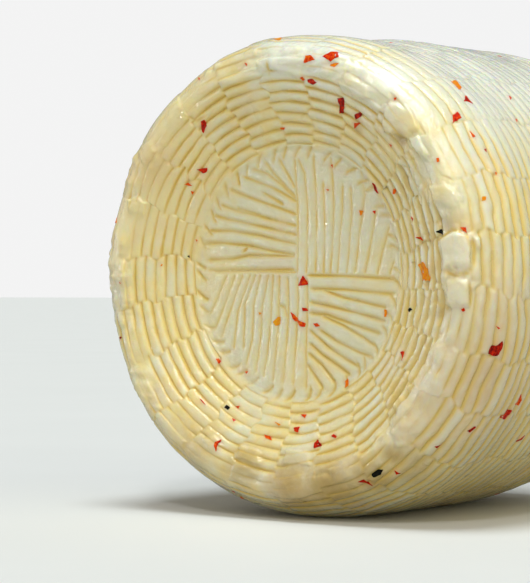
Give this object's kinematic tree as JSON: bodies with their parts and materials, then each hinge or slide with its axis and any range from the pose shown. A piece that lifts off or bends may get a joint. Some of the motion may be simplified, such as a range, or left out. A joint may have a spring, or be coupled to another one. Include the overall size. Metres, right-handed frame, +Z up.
{
  "type": "pecorino cheese wheel",
  "caption": "Whole fresh pecorino wheel with chili flakes, moulded in a woven basket and lying on its side, its dished ends printed with a pinwheel of slats.",
  "frame": {"origin": "on the ground, under the middle of the wheel, at the bottom centre of its box", "axes": "+Z up; the wheel lies on its side with its axis along Y, and its patterned front end faces -Y"},
  "size_m": [0.242, 0.2012, 0.2409],
  "materials": {
    "cheese": "moist ivory cheese with a soft sheen, yellower in the grooves and on the lip"
  },
  "bodies": {
    "root": {"cheese_wheel": "cheese"}
  },
  "joints": []
}
